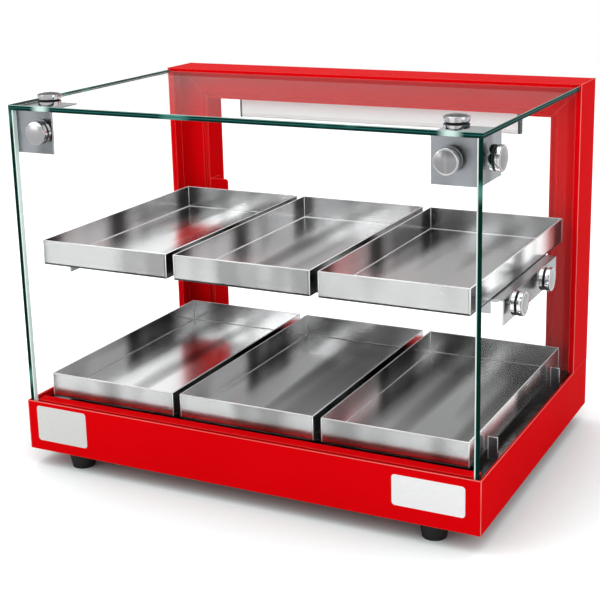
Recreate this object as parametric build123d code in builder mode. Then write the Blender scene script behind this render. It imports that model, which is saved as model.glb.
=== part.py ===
"""Countertop display case: red sheet-metal base and rear portal, glass box, and six steel trays on two levels."""
import os
from math import cos, radians, sin

from build123d import *

os.makedirs("parts", exist_ok=True)

# Overall sizes, in millimetres; the front looks along -Y and the feet stand on Z = 0
case_width = 600.0
case_depth = 425.0
case_height = 462.0
foot_height = 22.0
base_height = 64.0
sheet = 1.5
seat_gap = 0.2
run_gap = 0.3

# Base housing
rim_width = 2.5
rim_depth = 8.0
ledge_width = 12.0
bottom_flange = 46.0
edge_round = 0.8
deck_skirt = 8.0
deck_skirt_gap = 1.0
cover_vent_length = 110.0
cover_vent_width = 4.0
cover_vent_count = 9
cover_vent_pitch = 12.0

# Rear portal
portal_depth = 66.0
portal_width = 47.0
portal_lip = 8.0
panel_setback = 27.0
rear_lip = 10.0
swage_depth = 3.0
swage_near = 38.0
swage_far = 44.5

# Glass
glass = 6.0
top_glass_drop = 2.0

# Corner brackets and round knobs
bracket_width = 52.0
bracket_height = 51.5
bracket_side_length = 67.0
bracket_top_length = 51.0
knob_diameter = 28.0
knob_ring = 4.0
knob_neck_diameter = 20.0
knob_neck = 2.5
knob_cap = 6.5
knob_dome = 2.0
knob_face = 20.0
stud_diameter = 6.0
stud_clearance = 1.0
corner_knob_drop = 30.0
right_knob_inset = 38.0
left_knob_inset = 50.0
top_knob_setback = 22.0
side_knob_setback = 30.0

# Upper shelf
rail_length = 200.0
rail_front = 92.0
rail_height = 29.0
rail_web = 15.0
shelf_level = 260.0
rail_knob_offsets = (20.0, 125.0)
rail_knob_drop = 7.5
bar_height = 17.0
bar_leg = 20.0
lap_length = 8.0

# Trays
tray_side_gap = 2.5
tray_gap = 10.5
tray_rear_gap = 23.0
tray_height = 30.0
tray_wall = 1.2
tray_front = 25.0
tray_round = 2.4
seam_width = 4.0
seam_thickness = 0.5
middle_tray_travel = 420.0
outer_tray_lift = 45.0

# Lower tray runners and guide tabs
runner_height = 9.0
runner_width = 20.0
runner_front = 60.0
runner_rear_inset = 125.0
tab_width = 11.0
tab_height = 27.0
tab_foot = 18.0
tab_front = 77.0
tab_rear_inset = 105.0
acorn_flats = 7.0
acorn_height = 8.0
acorn_tip = 3.5
acorn_setback = 9.0

# Stop tab on the left post
stop_width = 29.0
stop_top = 300.0
stop_height = 55.0
stop_round = 4.0
stop_fixing = 24.0

# Lamp under the top beam
lamp_end_gap = 45.0
lamp_depth = 10.0
lamp_height = 27.0
lamp_setback = 43.0
lamp_wall = 1.5
lamp_cap = 3.0
lamp_round = 3.0

# Rear controls
switch_width = 30.0
switch_height = 22.0
switch_inset = 110.0
switch_bezel = 2.0
switch_depth = 18.0
switch_body_inset = 3.0
rocker_width = 20.0
rocker_half_height = 6.2
rocker_reach = 3.2
rocker_hollow = 1.2
rocker_barrel = 10.0
rocker_gap = 0.2
rocker_swing_gap = 1.0
rocker_tilt = 10.0
pin_diameter = 3.0
pin_length = 1.2
pin_clearance = 0.1
gland_inset = 95.0
gland_hex = 20.0
gland_flange = 5.0
gland_cap = 16.0
gland_bore = 7.0
gland_thread = 14.0
gland_tail = 12.0
gland_nut = 5.0
rear_fitting_level = 54.0

# Flat heating element under the deck, its clips and its terminal block
element_inset_x = 110.0
element_front = 70.0
element_rear_inset = 130.0
element_thickness = 4.0
clip_width = 20.0
clip_lap = 12.0
clip_count = 3
terminal_length = 60.0
terminal_depth = 22.0
terminal_height = 20.0
terminal_setback = 10.0
terminal_slot_width = 6.0
terminal_slot_depth = 8.0
terminal_slot_count = 3

# Feet
foot_top_diameter = 36.0
foot_bottom_diameter = 28.0
foot_inset_x = 62.0
foot_inset_y = 24.0
thread_clearance = 0.5

# Planes and levels that follow from the sizes above
half_width = case_width / 2
front = -case_depth / 2
back = case_depth / 2
base_bottom = foot_height
base_top = base_bottom + base_height
deck_top = base_top - rim_depth
ledge_top = deck_top - sheet
portal_front = back - portal_depth
panel_front = portal_front + panel_setback
opening_half = half_width - portal_width
opening_top = case_height - portal_width
pane_outer_x = half_width - rim_width - run_gap
pane_inner_x = pane_outer_x - glass
pane_front_y = front + rim_width + run_gap
pane_back_y = portal_front - run_gap
top_glass_top = case_height - top_glass_drop
top_glass_bottom = top_glass_top - glass
pane_top = top_glass_bottom - seat_gap
front_pane_back_y = pane_front_y + glass
bracket_outer_x = pane_inner_x - seat_gap
bracket_front_y = front_pane_back_y + seat_gap
bracket_top = top_glass_bottom - seat_gap
corner_knob_level = top_glass_top - corner_knob_drop
rail_front_y = front + rail_front
rail_back_y = rail_front_y + rail_length
rail_knob_level = shelf_level - rail_knob_drop
tray_front_y = front + tray_front
upper_tray_bottom = shelf_level + seat_gap
lower_tray_bottom = deck_top + runner_height + seat_gap
stud_hole = stud_diameter + stud_clearance
lamp_top = opening_top - seat_gap
lamp_front_y = portal_front + lamp_setback
sill_front_y = panel_front
tray_width = (2 * (pane_inner_x - seat_gap - tab_width - tray_side_gap) - 2 * tray_gap) / 3
tray_pitch = tray_width + tray_gap
tray_length = panel_front - tray_rear_gap - tray_front_y
runner_rear = case_depth - runner_rear_inset
tab_rear = case_depth - tab_rear_inset
lamp_length = 2 * (opening_half - lamp_end_gap)
switch_x = half_width - switch_inset
gland_x = gland_inset - half_width
gland_reach = knob_ring + knob_neck + knob_cap + knob_dome - rim_width - run_gap
foot_plate_width = portal_width - 2 * sheet
foot_plate_depth = portal_depth - panel_setback - 3 * sheet - swage_depth
foot_plate_y = back - sheet - foot_plate_depth / 2
post_height = case_height - base_top
foot_points = [
    (side * (half_width - foot_inset_x), end * (back - foot_inset_y)) for end in (-1, 1) for side in (-1, 1)
]


def export(block, label):
    """Label one finished sub-part and write it under the same name."""
    block.part.label = label
    export_step(block.part, f"parts/{label}.step")


def axial_plane(point, direction):
    """A plane through a turned piece's axis: local Y runs along the axis and local X is the radius."""
    side = Vector(0, 0, 1) if abs(direction[2]) < 0.5 else Vector(1, 0, 0)
    return Plane(origin=point, x_dir=side, z_dir=side.cross(Vector(*direction)))


def knob_places(side):
    """Outer-face points and directions of the corner knobs on one side, -1 for left and 1 for right."""
    inset = right_knob_inset if side > 0 else left_knob_inset
    knob_x = side * (half_width - inset)
    places = [
        ((knob_x, pane_front_y, corner_knob_level), (0, -1, 0)),
        ((knob_x, front + top_knob_setback, top_glass_top), (0, 0, 1)),
    ]
    if side > 0:
        places.append(((pane_outer_x, front + side_knob_setback, corner_knob_level), (1, 0, 0)))
    return places


def rail_knob_places(side):
    """Outer-face points and directions of the two rail knobs on one side pane."""
    return [
        ((side * pane_outer_x, rail_front_y + offset, rail_knob_level), (side, 0, 0))
        for offset in rail_knob_offsets
    ]


corner_places = knob_places(-1) + knob_places(1)
rail_places = rail_knob_places(-1) + rail_knob_places(1)


# Base housing: a folded pan with a hemmed rim, a ledge for the deck, a rear sill and an inward bottom flange
with BuildPart() as base_housing:
    with BuildSketch(Plane.XY.offset(base_bottom)):
        Rectangle(case_width, case_depth)
        offset(amount=-sheet, mode=Mode.SUBTRACT)
    extrude(amount=base_height)
    with BuildSketch(Plane.XY.offset(ledge_top)):
        Rectangle(case_width, case_depth)
        offset(amount=-rim_width, mode=Mode.SUBTRACT)
    extrude(amount=base_top - ledge_top)
    with BuildSketch(Plane.XY.offset(ledge_top - sheet)):
        Rectangle(case_width, case_depth)
        offset(amount=-(rim_width + ledge_width), mode=Mode.SUBTRACT)
    extrude(amount=sheet)
    with BuildSketch(Plane.XY.offset(base_bottom)):
        Rectangle(case_width, case_depth)
        offset(amount=-bottom_flange, mode=Mode.SUBTRACT)
    extrude(amount=sheet)
    with BuildSketch(Plane.XY.offset(base_top - sheet)):
        with Locations((0, (sill_front_y + back) / 2)):
            Rectangle(case_width, back - sill_front_y)
    extrude(amount=sheet)
    with BuildSketch(Plane.XY.offset(ledge_top - sheet)):
        with Locations((0, sill_front_y + sheet / 2)):
            Rectangle(case_width, sheet)
    extrude(amount=base_top - ledge_top + sheet)
    with BuildSketch(Plane.XY.offset(ledge_top - sheet)):
        with Locations((0, sill_front_y - ledge_width / 2)):
            Rectangle(case_width, ledge_width)
    extrude(amount=sheet)
    outer_uprights = base_housing.edges().filter_by(Axis.Z).filter_by(
        lambda e: abs(e.center().X) > half_width - 0.1 and abs(e.center().Y) > back - 0.1)
    fillet(outer_uprights, edge_round)
    with BuildSketch(Plane.XZ.offset(-back)):
        with Locations((switch_x, rear_fitting_level)):
            Rectangle(switch_width - 2 * switch_body_inset, switch_height - 2 * switch_body_inset)
    extrude(amount=sheet, mode=Mode.SUBTRACT)
    with BuildSketch(Plane(origin=(gland_x, back, rear_fitting_level), z_dir=(0, -1, 0))):
        Circle((gland_thread + thread_clearance) / 2)
    extrude(amount=sheet, mode=Mode.SUBTRACT)
export(base_housing, "base_housing")


# Deck: a tray with down-turned edges that drops onto the ledge, inside the rim and ahead of the sill
deck_half_x = half_width - rim_width - seat_gap
deck_front_y = front + rim_width + seat_gap
deck_back_y = sill_front_y - seat_gap
with BuildPart() as base_deck:
    with BuildSketch(Plane.XY.offset(ledge_top)):
        with Locations((0, (deck_front_y + deck_back_y) / 2)):
            Rectangle(2 * deck_half_x, deck_back_y - deck_front_y)
    extrude(amount=sheet)
    with BuildSketch(Plane.XY.offset(ledge_top)):
        with Locations((0, (deck_front_y + deck_back_y) / 2)):
            Rectangle(2 * (half_width - rim_width - ledge_width - deck_skirt_gap),
                      deck_back_y - deck_front_y - 2 * (ledge_width + deck_skirt_gap))
            offset(amount=-sheet, mode=Mode.SUBTRACT)
    extrude(amount=-deck_skirt)
export(base_deck, "base_deck")

# Bottom cover: a flat sheet under the housing with two fields of cooling slots
with BuildPart() as bottom_cover:
    with BuildSketch(Plane.XY.offset(base_bottom + sheet)):
        Rectangle(case_width - 2 * sheet - 2 * run_gap, case_depth - 2 * sheet - 2 * run_gap)
    extrude(amount=sheet)
    with BuildSketch(Plane.XY.offset(base_bottom + sheet)):
        with GridLocations(case_width / 2, cover_vent_pitch, 2, cover_vent_count):
            Rectangle(cover_vent_length, cover_vent_width)
    extrude(amount=sheet, mode=Mode.SUBTRACT)
export(bottom_cover, "bottom_cover")


def portal_section(plane):
    """Draw the folded portal section: local X runs inward from the outer face and local Y runs to the rear."""
    with BuildSketch(plane) as section:
        with BuildLine():
            Polyline(
                (0, 0),
                (portal_lip, 0),
                (portal_lip, sheet),
                (sheet, sheet),
                (sheet, panel_setback),
                (swage_near, panel_setback),
                (swage_near + swage_depth / 2, panel_setback + swage_depth),
                (swage_far - swage_depth / 2, panel_setback + swage_depth),
                (swage_far, panel_setback),
                (portal_width, panel_setback),
                (portal_width, portal_depth),
                (portal_width - rear_lip, portal_depth),
                (portal_width - rear_lip, portal_depth - sheet),
                (portal_width - sheet, portal_depth - sheet),
                (portal_width - sheet, panel_setback + sheet),
                (swage_far + swage_depth / 4, panel_setback + sheet),
                (swage_far - swage_depth / 4, panel_setback + swage_depth + sheet),
                (swage_near + swage_depth / 4, panel_setback + swage_depth + sheet),
                (swage_near - swage_depth / 4, panel_setback + sheet),
                (sheet, panel_setback + sheet),
                (sheet, portal_depth - sheet),
                (rear_lip, portal_depth - sheet),
                (rear_lip, portal_depth),
                (0, portal_depth),
                close=True,
            )
        make_face()
    return section



def portal_post(side):
    """One upright of the portal, mitred at the top and closed at the bottom by its foot plate."""
    with BuildPart() as post:
        section = portal_section(
            Plane(origin=(side * half_width, portal_front, base_top), x_dir=(-side, 0, 0), z_dir=(0, 0, -side)))
        extrude(section.sketch, amount=-side * post_height)
        with BuildSketch(Plane.XY.offset(base_top)):
            with Locations((side * (half_width - portal_width / 2), foot_plate_y)):
                Rectangle(foot_plate_width, foot_plate_depth)
        extrude(amount=sheet)
        split(bisect_by=Plane(origin=(side * half_width, 0, case_height), z_dir=(side, 0, -1)), keep=Keep.TOP)
    return post


for side, name in ((-1, "left_post"), (1, "right_post")):
    export(portal_post(side), name)

# Top beam: the same folded section laid across, mitred at both ends
with BuildPart() as top_beam:
    section = portal_section(
        Plane(origin=(-half_width, portal_front, case_height), x_dir=(0, 0, -1), z_dir=(1, 0, 0)))
    extrude(section.sketch, amount=case_width)
    for side in (-1, 1):
        split(bisect_by=Plane(origin=(side * half_width, 0, case_height), z_dir=(-side, 0, 1)), keep=Keep.TOP)
export(top_beam, "top_beam")


def pane(plane, width, height, holes, label):
    """A polished glass pane: a rectangle with its stud holes, drawn from its lower-left corner on the plane."""
    with BuildPart() as sheet_of_glass:
        with BuildSketch(plane):
            with Locations((width / 2, height / 2)):
                Rectangle(width, height)
            if holes:
                with Locations(*holes):
                    Circle(stud_hole / 2, mode=Mode.SUBTRACT)
        extrude(amount=glass)
    export(sheet_of_glass, label)


pane_height = pane_top - deck_top
front_pane_half = pane_inner_x - seat_gap
side_pane_length = pane_back_y - pane_front_y
front_holes = [(point[0] + front_pane_half, point[2] - deck_top)
               for point, way in corner_places if way[1] < 0]
pane(Plane(origin=(-front_pane_half, front_pane_back_y, deck_top), x_dir=(1, 0, 0), z_dir=(0, -1, 0)),
     2 * front_pane_half, pane_height, front_holes, "glass_front")
for side, name in ((-1, "glass_left"), (1, "glass_right")):
    side_holes = [(point[1] - pane_front_y, point[2] - deck_top)
                  for point, way in corner_places + rail_places if way[0] == side]
    pane(Plane(origin=(pane_outer_x - glass if side > 0 else -pane_outer_x, pane_front_y, deck_top),
               x_dir=(0, 1, 0), z_dir=(1, 0, 0)),
         side_pane_length, pane_height, side_holes, name)
top_holes = [(point[0] + pane_outer_x, point[1] - pane_front_y)
             for point, way in corner_places if way[2] > 0]
pane(Plane(origin=(-pane_outer_x, pane_front_y, top_glass_bottom), x_dir=(1, 0, 0), z_dir=(0, 0, 1)),
     2 * pane_outer_x, side_pane_length, top_holes, "glass_top")


def corner_bracket(side, label):
    """A stainless corner of three plates behind the front, side and top panes."""
    outer = side * bracket_outer_x
    inner = side * (bracket_outer_x - bracket_width)
    with BuildPart() as bracket:
        with BuildSketch(Plane(origin=(0, bracket_front_y, 0), x_dir=(1, 0, 0), z_dir=(0, -1, 0))):
            with Locations(((outer + inner) / 2, bracket_top - bracket_height / 2)):
                Rectangle(bracket_width, bracket_height)
        extrude(amount=-sheet)
        with BuildSketch(Plane(origin=(outer, 0, 0), x_dir=(0, 1, 0), z_dir=(side, 0, 0))):
            with Locations((bracket_front_y + bracket_side_length / 2, side * (bracket_top - bracket_height / 2))):
                Rectangle(bracket_side_length, bracket_height)
        extrude(amount=-sheet)
        with BuildSketch(Plane.XY.offset(bracket_top)):
            with Locations(((outer + inner) / 2, bracket_front_y + bracket_top_length / 2)):
                Rectangle(bracket_width, bracket_top_length)
        extrude(amount=-sheet)
    export(bracket, label)


for side, name in ((-1, "corner_bracket_left"), (1, "corner_bracket_right")):
    corner_bracket(side, name)


def knob_bases(places, label):
    """Ring, tapered neck and stud of each knob, turned as one piece per place; the stud ends at the steel."""
    stud_length = glass + seat_gap
    with BuildPart() as bases:
        for point, way in places:
            with BuildSketch(axial_plane(point, way)):
                with BuildLine():
                    Polyline(
                        (0, knob_ring + knob_neck),
                        (knob_neck_diameter / 2, knob_ring + knob_neck),
                        (knob_diameter / 2, knob_ring),
                        (knob_diameter / 2, 0),
                        (stud_diameter / 2, 0),
                        (stud_diameter / 2, -stud_length),
                        (0, -stud_length),
                        close=True,
                    )
                make_face()
            revolve(axis=Axis(point, way))
    export(bases, label)


def knob_caps(places, label):
    """Bevelled chrome cap of each knob, seated on its neck."""
    foot = knob_ring + knob_neck
    with BuildPart() as caps:
        for point, way in places:
            with BuildSketch(axial_plane(point, way)):
                with BuildLine():
                    Polyline(
                        (0, foot),
                        (knob_diameter / 2, foot),
                        (knob_diameter / 2, foot + knob_cap),
                        (knob_face / 2, foot + knob_cap + knob_dome),
                        (0, foot + knob_cap + knob_dome),
                        close=True,
                    )
                make_face()
            revolve(axis=Axis(point, way))
    export(caps, label)


knob_bases(corner_places, "corner_knob_bases")
knob_caps(corner_places, "corner_knob_caps")
knob_bases(rail_places, "rail_knob_bases")
knob_caps(rail_places, "rail_knob_caps")


# Shelf rails: an angle on each side pane, web inward at the top, with a lap tab for each cross bar
rail_outer_x = pane_inner_x - seat_gap
rail_inner_x = rail_outer_x - rail_web
bar_level = shelf_level - sheet
bar_places = ((rail_front_y, 1), (rail_back_y, -1))


def shelf_rail(side, label):
    """One shelf rail, its outer bend rounded."""
    with BuildPart() as rail:
        with BuildSketch(Plane(origin=(0, rail_front_y, 0), x_dir=(1, 0, 0), z_dir=(0, -1, 0))):
            with BuildLine():
                Polyline(
                    (side * rail_outer_x, shelf_level),
                    (side * rail_inner_x, shelf_level),
                    (side * rail_inner_x, shelf_level - sheet),
                    (side * (rail_outer_x - sheet), shelf_level - sheet),
                    (side * (rail_outer_x - sheet), shelf_level - rail_height),
                    (side * rail_outer_x, shelf_level - rail_height),
                    close=True,
                )
            make_face()
        extrude(amount=-rail_length)
        bend = rail.edges().filter_by(Axis.Y).filter_by(
            lambda e: abs(e.center().X) > rail_outer_x - 0.1 and e.center().Z > shelf_level - 0.1)
        fillet(bend, sheet)
    export(rail, label)


for side, name in ((-1, "shelf_rail_left"), (1, "shelf_rail_right")):
    shelf_rail(side, name)


def shelf_bar(bar_y, way, label):
    """A folded cross bar between the rails, its ends joggled down under the rail webs."""
    length = 2 * (rail_inner_x - seat_gap)
    with BuildPart() as bar:
        with BuildSketch(Plane.YZ.offset(-length / 2)):
            with BuildLine():
                Polyline(
                    (bar_y, shelf_level),
                    (bar_y + way * bar_leg, shelf_level),
                    (bar_y + way * bar_leg, shelf_level - sheet),
                    (bar_y + way * sheet, shelf_level - sheet),
                    (bar_y + way * sheet, shelf_level - bar_height),
                    (bar_y, shelf_level - bar_height),
                    close=True,
                )
            make_face()
        extrude(amount=length)
        with BuildSketch(Plane.XY.offset(shelf_level - sheet)):
            for side in (-1, 1):
                with Locations((side * (rail_inner_x - seat_gap), bar_y + way * bar_leg / 2)):
                    Rectangle(2 * lap_length, bar_leg)
        extrude(amount=-sheet)
    export(bar, label)


for (bar_y, way), name in zip(bar_places, ("shelf_front_bar", "shelf_rear_bar")):
    shelf_bar(bar_y, way, name)


def tray(column, floor_level, label):
    """A folded steel tray with softened floor folds, an open top and the wrap seam on its front wall."""
    centre = (column * tray_pitch, tray_front_y + tray_length / 2)
    with BuildPart() as pan:
        with BuildSketch(Plane.XY.offset(floor_level)):
            with Locations(centre):
                Rectangle(tray_width, tray_length)
        extrude(amount=tray_height)
        fillet(pan.faces().sort_by(Axis.Z)[0].edges(), tray_round)
        with BuildSketch(Plane.XY.offset(floor_level + tray_wall)):
            with Locations(centre):
                Rectangle(tray_width - 2 * tray_wall, tray_length - 2 * tray_wall)
        extrude(amount=tray_height, mode=Mode.SUBTRACT)
        inner_floor = pan.faces().filter_by(Axis.Z).sort_by(Axis.Z)[1]
        fillet(inner_floor.outer_wire().edges(), tray_round - tray_wall)
        with BuildSketch(Plane(origin=(0, tray_front_y, 0), x_dir=(1, 0, 0), z_dir=(0, -1, 0))):
            with Locations((centre[0] + tray_width / 2 - tray_round - seam_width / 2,
                            floor_level + tray_height / 2 + tray_round / 2)):
                Rectangle(seam_width, tray_height - tray_round)
        extrude(amount=seam_thickness)
    export(pan, label)


for level, floor_level in (("upper", upper_tray_bottom), ("lower", lower_tray_bottom)):
    for column, place in ((-1, "left"), (0, "middle"), (1, "right")):
        tray(column, floor_level, f"{level}_tray_{place}")


# Runners: folded black channels that hold the lower trays above the deck
runner_length = 3 * tray_pitch - 2 * (tray_pitch - tray_width)
for runner_y, name in ((runner_front, "tray_runner_front"), (runner_rear, "tray_runner_rear")):
    with BuildPart() as runner:
        with BuildSketch(Plane.YZ.offset(-runner_length / 2)):
            with Locations((front + runner_y, deck_top + runner_height / 2)):
                Rectangle(runner_width, runner_height)
            with Locations((front + runner_y, deck_top + (runner_height - sheet) / 2)):
                Rectangle(runner_width - 2 * sheet, runner_height - sheet, mode=Mode.SUBTRACT)
        extrude(amount=runner_length)
    export(runner, name)


# Guide tabs: small angles screwed to the deck that keep the lower trays off the side panes
tab_outer_x = pane_inner_x - seat_gap
tab_centre_x = tab_outer_x - tab_width / 2
with BuildPart() as deck_guide_tabs:
    for side in (-1, 1):
        for tab_y in (tab_front, tab_rear):
            with BuildSketch(Plane.YZ.offset(side * tab_centre_x - tab_width / 2)):
                with BuildLine():
                    Polyline(
                        (front + tab_y, deck_top),
                        (front + tab_y, deck_top + tab_height),
                        (front + tab_y + sheet, deck_top + tab_height),
                        (front + tab_y + sheet, deck_top + sheet),
                        (front + tab_y + tab_foot, deck_top + sheet),
                        (front + tab_y + tab_foot, deck_top),
                        close=True,
                    )
                make_face()
            extrude(amount=tab_width)
export(deck_guide_tabs, "deck_guide_tabs")

with BuildPart() as guide_tab_nuts:
    for side in (-1, 1):
        for tab_y in (tab_front, tab_rear):
            seat = Plane(origin=(side * tab_centre_x, front + tab_y + acorn_setback, deck_top + sheet))
            with BuildSketch(seat):
                RegularPolygon(acorn_flats / 2, 6, major_radius=False)
            extrude(amount=acorn_height - acorn_tip)
            with BuildSketch(seat.offset(acorn_height - acorn_tip)):
                RegularPolygon(acorn_flats / 2, 6, major_radius=False)
            extrude(amount=acorn_tip, taper=30)
export(guide_tab_nuts, "guide_tab_nuts")

# Stop tab: a round-cornered plate that stands in the rear opening, folded from a leg riveted to the left post
with BuildPart() as tray_stop_tab:
    with BuildSketch(Plane(origin=(0, panel_front, 0), x_dir=(1, 0, 0), z_dir=(0, -1, 0))) as plate:
        with Locations((-opening_half + stop_width / 2, stop_top - stop_height / 2)):
            Rectangle(stop_width, stop_height)
        fillet(plate.vertices().sort_by(Axis.X)[-2:], stop_round)
    extrude(amount=-sheet)
    with BuildSketch(Plane.YZ.offset(-opening_half)) as leg:
        with Locations((panel_front + sheet / 2 + stop_fixing / 2, stop_top - stop_height / 2)):
            Rectangle(stop_fixing + sheet, stop_height)
        fillet(leg.vertices().sort_by(Axis.Y)[-2:], stop_round)
    extrude(amount=sheet)
export(tray_stop_tab, "tray_stop_tab")

# Lamp: a slim channel under the beam, a round-cornered diffuser in its open bottom and a cap at each end
lamp_y = lamp_front_y + lamp_depth / 2
lamp_bottom = lamp_top - lamp_height
diffuser_top = lamp_bottom + 2 * lamp_round
lamp_inner_length = lamp_length - 2 * lamp_cap
with BuildPart() as lamp_housing:
    with BuildSketch(Plane.YZ.offset(-lamp_inner_length / 2)):
        with Locations((lamp_y, (lamp_top + diffuser_top) / 2)):
            Rectangle(lamp_depth, lamp_top - diffuser_top)
        with Locations((lamp_y, (lamp_top + diffuser_top) / 2 - lamp_wall)):
            Rectangle(lamp_depth - 2 * lamp_wall, lamp_top - diffuser_top, mode=Mode.SUBTRACT)
    extrude(amount=lamp_inner_length)
export(lamp_housing, "lamp_housing")

with BuildPart() as lamp_diffuser:
    with BuildSketch(Plane.YZ.offset(-lamp_inner_length / 2)) as profile:
        with Locations((lamp_y, (lamp_bottom + diffuser_top) / 2)):
            Rectangle(lamp_depth, diffuser_top - lamp_bottom)
        fillet(profile.vertices().sort_by(Axis.Y)[:2].sort_by(Axis.Z)[:1], lamp_round)
        with Locations((lamp_y, diffuser_top)):
            Rectangle(lamp_depth - 2 * lamp_wall - 2 * seat_gap, 2 * lamp_wall)
    extrude(amount=lamp_inner_length)
export(lamp_diffuser, "lamp_diffuser")

with BuildPart() as lamp_end_caps:
    for side in (-1, 1):
        with BuildSketch(Plane.YZ.offset(side * lamp_length / 2)) as profile:
            with Locations((lamp_y, (lamp_top + lamp_bottom) / 2)):
                Rectangle(lamp_depth, lamp_height)
            fillet(profile.vertices().sort_by(Axis.Z)[:2].sort_by(Axis.Y)[:1], lamp_round)
        extrude(amount=-side * (lamp_cap - seat_gap / 2))
export(lamp_end_caps, "lamp_end_caps")

# Rocker switch on the rear wall: a bezel with a hollow body behind it, and a rocker on two pins
switch_origin = (switch_x, back, rear_fitting_level)
switch_plane = Plane(origin=switch_origin, x_dir=(-1, 0, 0), z_dir=(0, 1, 0))
window_width = rocker_width + 2 * rocker_gap
window_height = 2 * (rocker_half_height + rocker_swing_gap)
with BuildPart() as switch_body:
    with BuildSketch(switch_plane):
        Rectangle(switch_width, switch_height)
    extrude(amount=switch_bezel, taper=30)
    with BuildSketch(switch_plane):
        Rectangle(switch_width - 2 * switch_body_inset - 2 * seat_gap,
                  switch_height - 2 * switch_body_inset - 2 * seat_gap)
    extrude(amount=-switch_depth)
    with BuildSketch(switch_plane.offset(switch_bezel)):
        Rectangle(window_width, window_height)
    extrude(amount=-switch_bezel - rocker_barrel, mode=Mode.SUBTRACT)
    with BuildSketch(Plane(origin=switch_origin, x_dir=(0, 1, 0), z_dir=(1, 0, 0))):
        Circle((pin_diameter + pin_clearance) / 2)
    extrude(amount=window_width / 2 + pin_length, both=True, mode=Mode.SUBTRACT)
export(switch_body, "switch_body")

rocker_plane = Plane(origin=switch_origin, x_dir=(0, cos(radians(rocker_tilt)), sin(radians(rocker_tilt))),
                     z_dir=(1, 0, 0))
with BuildPart() as switch_rocker:
    with BuildSketch(rocker_plane):
        Circle(rocker_barrel / 2)
        with BuildLine():
            Polyline(
                (0, -rocker_barrel / 2),
                (rocker_reach, -rocker_half_height),
                (rocker_reach - rocker_hollow, 0),
                (rocker_reach, rocker_half_height),
                (0, rocker_barrel / 2),
                close=True,
            )
        make_face()
    extrude(amount=rocker_width / 2, both=True)
    with BuildSketch(rocker_plane):
        Circle(pin_diameter / 2)
    extrude(amount=rocker_width / 2 + pin_length, both=True)
export(switch_rocker, "switch_rocker")

# Cable gland in the rear wall: hexagon flange and cap, bored body and an inner locknut
gland_point = (gland_x, back, rear_fitting_level)
with BuildPart() as cable_gland:
    with BuildSketch(Plane(origin=gland_point, z_dir=(0, 1, 0))):
        RegularPolygon(gland_hex / 2, 6, major_radius=False)
    extrude(amount=gland_flange)
    with BuildSketch(Plane(origin=gland_point, z_dir=(0, 1, 0)).offset(gland_flange)):
        RegularPolygon(gland_cap / 2, 6, major_radius=False)
    extrude(amount=gland_reach - gland_flange)
    with BuildSketch(Plane(origin=gland_point, z_dir=(0, 1, 0))):
        Circle(gland_thread / 2)
    extrude(amount=-gland_tail)
    with BuildSketch(Plane(origin=gland_point, z_dir=(0, 1, 0)).offset(gland_reach)):
        Circle(gland_bore / 2)
    extrude(amount=-gland_reach - gland_tail, mode=Mode.SUBTRACT)
export(cable_gland, "cable_gland")

with BuildPart() as gland_locknut:
    with BuildSketch(Plane(origin=gland_point, z_dir=(0, 1, 0)).offset(-sheet - seat_gap)):
        RegularPolygon(gland_hex / 2, 6, major_radius=False)
        Circle(gland_thread / 2 + seat_gap, mode=Mode.SUBTRACT)
    extrude(amount=-gland_nut)
export(gland_locknut, "gland_locknut")

# Feet: tapered rubber bumpers bonded under the bottom flange
with BuildPart() as feet:
    for foot_x, foot_y in foot_points:
        with BuildSketch(Plane(origin=(foot_x, foot_y, 0), x_dir=(1, 0, 0), z_dir=(0, -1, 0))):
            with BuildLine():
                Polyline(
                    (0, 0),
                    (foot_bottom_diameter / 2, 0),
                    (foot_top_diameter / 2, foot_height),
                    (0, foot_height),
                    close=True,
                )
            make_face()
        revolve(axis=Axis((foot_x, foot_y, 0), (0, 0, 1)))
export(feet, "feet")

# Heating element: a flat plate under the deck, held by joggled clips, with its terminal block behind it
element_half_width = half_width - element_inset_x
element_length = case_depth - element_front - element_rear_inset
element_y = front + element_front + element_length / 2
element_top = ledge_top - seat_gap
with BuildPart() as heating_element:
    with Locations((0, element_y, element_top)):
        Box(2 * element_half_width, element_length, element_thickness, align=(Align.CENTER, Align.CENTER, Align.MAX))
export(heating_element, "heating_element")

terminal_front_y = element_y + element_length / 2 + terminal_setback
with BuildPart() as terminal_block:
    with Locations((0, terminal_front_y, element_top)):
        Box(terminal_length, terminal_depth, terminal_height, align=(Align.CENTER, Align.MIN, Align.MAX))
    with BuildSketch(Plane.XY.offset(element_top - terminal_height)):
        with Locations((0, terminal_front_y + terminal_depth / 2)):
            with GridLocations(terminal_length / terminal_slot_count, 0, terminal_slot_count, 1):
                Rectangle(terminal_slot_width, terminal_depth)
    extrude(amount=terminal_slot_depth, mode=Mode.SUBTRACT)
export(terminal_block, "terminal_block")

clip_drop = element_thickness + 2 * seat_gap
clip_shifts = [(index - (clip_count - 1) / 2) * element_length / clip_count for index in range(clip_count)]
with BuildPart() as element_clips:
    for side in (-1, 1):
        edge_x = side * (element_half_width + seat_gap)
        for shift in clip_shifts:
            with BuildSketch(Plane(origin=(0, element_y + shift, 0), x_dir=(1, 0, 0), z_dir=(0, -1, 0))):
                with BuildLine():
                    Polyline(
                        (edge_x + side * clip_lap, ledge_top),
                        (edge_x, ledge_top),
                        (edge_x, ledge_top - clip_drop),
                        (edge_x - side * clip_lap, ledge_top - clip_drop),
                        (edge_x - side * clip_lap, ledge_top - clip_drop - sheet),
                        (edge_x + side * sheet, ledge_top - clip_drop - sheet),
                        (edge_x + side * sheet, ledge_top - sheet),
                        (edge_x + side * clip_lap, ledge_top - sheet),
                        close=True,
                    )
                make_face()
            extrude(amount=clip_width / 2, both=True)
export(element_clips, "element_clips")
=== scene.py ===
"""Looks of the countertop display case: paint, glass, steel, knobs, bare label plates, rivets and studio."""
import math

import bpy
import numpy as np
from mathutils import Matrix, Vector


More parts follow.
